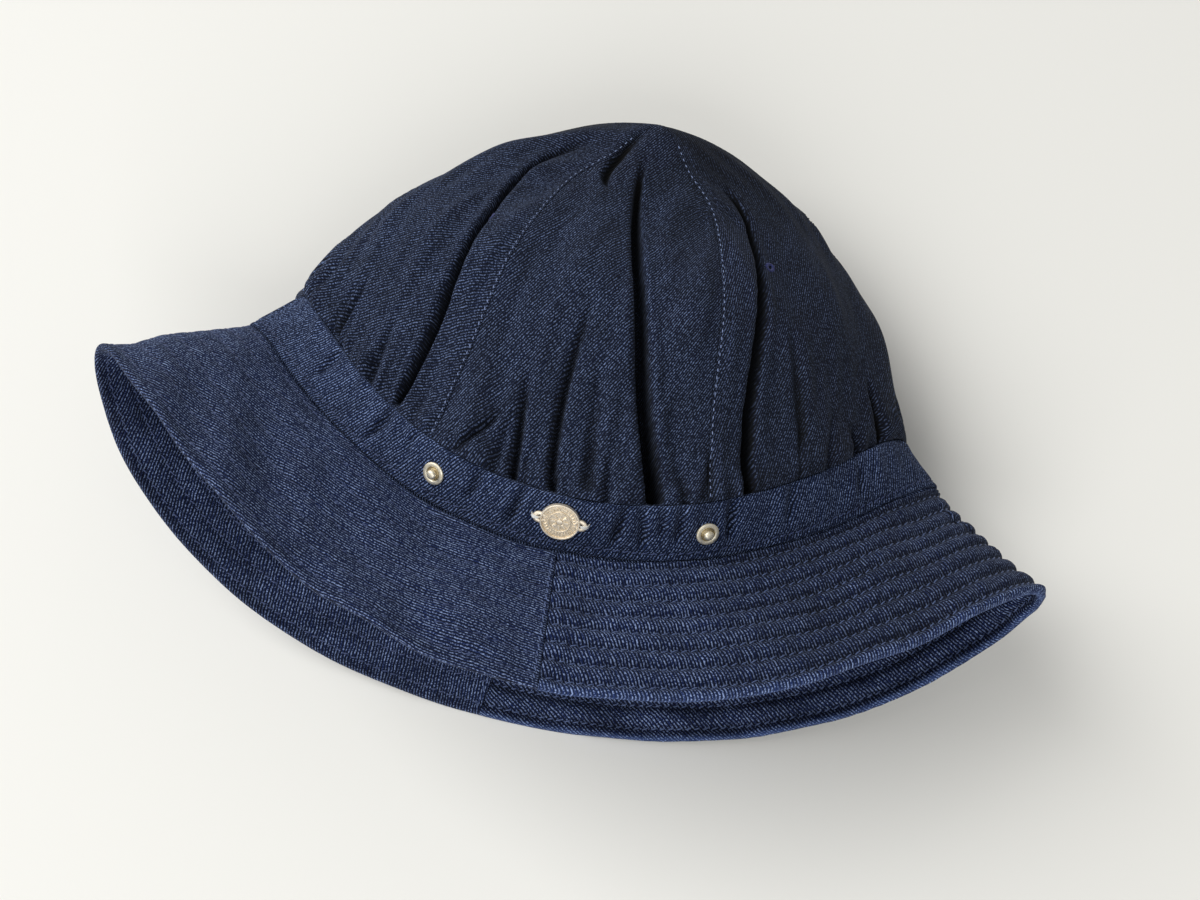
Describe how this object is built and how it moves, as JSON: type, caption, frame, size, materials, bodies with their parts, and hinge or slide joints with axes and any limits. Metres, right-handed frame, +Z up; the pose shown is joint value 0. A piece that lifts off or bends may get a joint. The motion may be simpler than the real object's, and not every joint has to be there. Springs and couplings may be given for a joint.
{
  "type": "denim sailor hat",
  "caption": "Soft panelled denim hat with a gathered crown, a studded band and a turned-down stitched brim, lying on its back.",
  "frame": {"origin": "middle of the bounding box's underside, on the surface that the hat lies on", "axes": "+X along the folded width to the right as seen from the brim, +Y from the brim to the crown's top, +Z up, out of the hat's front"},
  "size_m": [0.3138, 0.2194, 0.089],
  "materials": {
    "crown_denim": "dark indigo twill, matte",
    "band_denim": "dark indigo twill, matte",
    "brim_denim": "dark indigo twill, row stitched",
    "stud_metal": "pale nickelled brass, polished",
    "badge_metal": "dull silvered metal, stamped"
  },
  "bodies": {
    "root": {"crown_panel_front": "crown_denim", "crown_panel_front_left": "crown_denim", "crown_panel_front_right": "crown_denim", "crown_panel_back": "crown_denim", "crown_panel_back_left": "crown_denim", "crown_panel_back_right": "crown_denim", "band": "band_denim", "brim_left": "brim_denim", "brim_right": "brim_denim", "snap_stud_left": "stud_metal", "snap_stud_right": "stud_metal", "badge": "badge_metal"}
  },
  "joints": []
}
